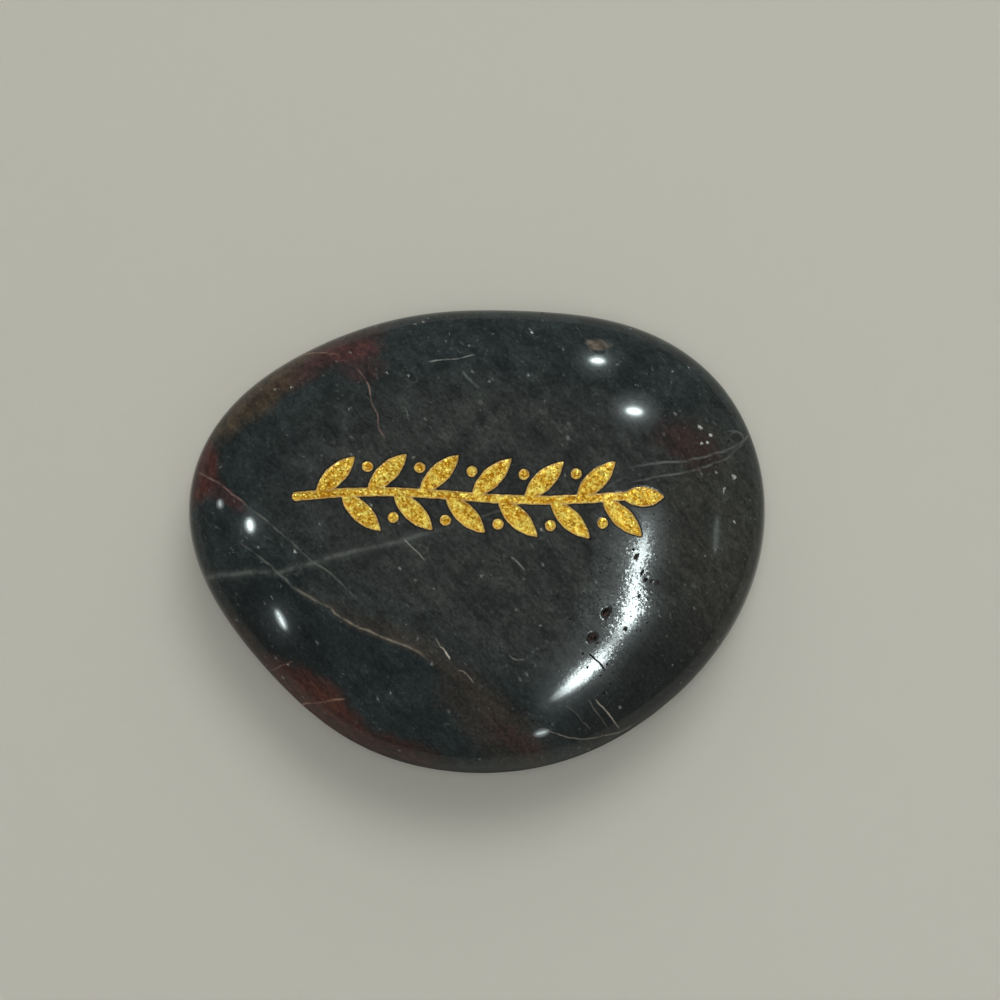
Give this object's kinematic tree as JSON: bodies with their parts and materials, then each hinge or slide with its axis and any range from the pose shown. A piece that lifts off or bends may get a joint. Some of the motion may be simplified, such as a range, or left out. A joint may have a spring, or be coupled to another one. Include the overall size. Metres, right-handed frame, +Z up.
{
  "type": "river pebble",
  "caption": "Smooth flattened egg-shaped river pebble with a domed polished top, a small worn flat to lie on and a shallow sprig of leaves engraved across the top.",
  "frame": {"origin": "on the surface that the stone lies on, below the middle of its widest outline", "axes": "+Z up out of the engraved top, +X along the stone's length in the sprig's direction, +Y across it towards the straighter long side"},
  "size_m": [0.06, 0.0482, 0.0158],
  "materials": {
    "polished_jasper": "tumbled and polished to a wet-looking gloss, dark green-grey to brown-grey with red patches and thin pale veins; the engraved grooves are filled with glittery gold paint"
  },
  "bodies": {
    "root": {"river_pebble": "polished_jasper"}
  },
  "joints": []
}
